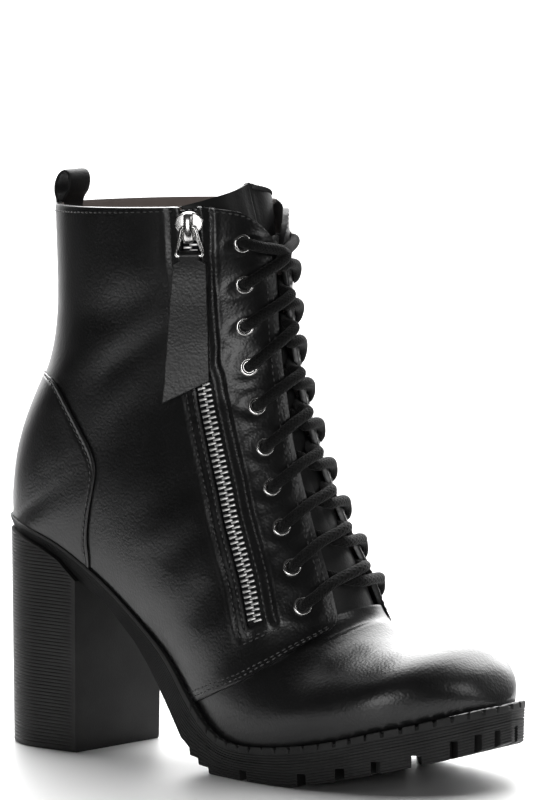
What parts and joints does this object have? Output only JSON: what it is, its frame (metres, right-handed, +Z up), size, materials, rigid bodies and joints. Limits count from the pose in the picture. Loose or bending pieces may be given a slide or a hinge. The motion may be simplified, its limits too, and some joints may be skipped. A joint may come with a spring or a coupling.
{
  "type": "block heel lace-up boot",
  "caption": "Black leather ankle boot with a high block heel, lugged platform sole, laced front with metal eyelets, side zip with leather pull and a loop at the back of the collar.",
  "frame": {"origin": "centre of the overall box at the floor the boot stands on", "axes": "+X to the toe, +Y to the inner (medial) side of this right boot, +Z up"},
  "size_m": [0.248, 0.0966, 0.2428],
  "materials": {
    "upper_leather": "black grained leather, satin",
    "counter_leather": "black grained leather, satin",
    "tongue_leather": "black grained leather, satin",
    "loop_leather": "black leather strip, satin",
    "tab_leather": "black leather tab, satin",
    "sole_rubber": "black moulded rubber, matt",
    "heel_stack": "black ribbed block, matt",
    "insole_board": "dark sock lining, matt",
    "zip_tape_cloth": "black woven tape, matt",
    "zip_metal": "bright plated metal",
    "eyelet_metal": "bright plated metal",
    "lace_cord": "black braided cord, matt"
  },
  "bodies": {
    "boot": {"upper": "upper_leather", "heel_counter": "counter_leather", "tongue": "tongue_leather", "pull_loop": "loop_leather", "outsole": "sole_rubber", "heel": "heel_stack", "insole": "insole_board", "zip_tape": "zip_tape_cloth", "zip_teeth": "zip_metal", "zip_slider": "zip_metal", "eyelet_lateral_01": "eyelet_metal", "eyelet_lateral_02": "eyelet_metal", "eyelet_lateral_03": "eyelet_metal", "eyelet_lateral_04": "eyelet_metal", "eyelet_lateral_05": "eyelet_metal", "eyelet_lateral_06": "eyelet_metal", "eyelet_lateral_07": "eyelet_metal", "eyelet_lateral_08": "eyelet_metal", "eyelet_lateral_09": "eyelet_metal", "eyelet_lateral_10": "eyelet_metal", "eyelet_medial_01": "eyelet_metal", "eyelet_medial_02": "eyelet_metal", "eyelet_medial_03": "eyelet_metal", "eyelet_medial_04": "eyelet_metal", "eyelet_medial_05": "eyelet_metal", "eyelet_medial_06": "eyelet_metal", "eyelet_medial_07": "eyelet_metal", "eyelet_medial_08": "eyelet_metal", "eyelet_medial_09": "eyelet_metal", "eyelet_medial_10": "eyelet_metal", "lace_cross_01": "lace_cord", "lace_cross_02": "lace_cord", "lace_cross_03": "lace_cord", "lace_cross_04": "lace_cord", "lace_cross_05": "lace_cord", "lace_cross_06": "lace_cord", "lace_cross_07": "lace_cord", "lace_cross_08": "lace_cord", "lace_cross_09": "lace_cord"},
    "zip_pull": {"zip_pull_ring": "zip_metal", "zip_pull_tab": "tab_leather"}
  },
  "joints": [
    {"name": "zip_pull_swing", "type": "hinge", "parent": "boot", "child": "zip_pull", "pos_m": [-0.00982, -0.03242, 0.2243], "axis": [-0.8772, -0.4791, -0.0305], "range_deg": [0, 150]}
  ]
}
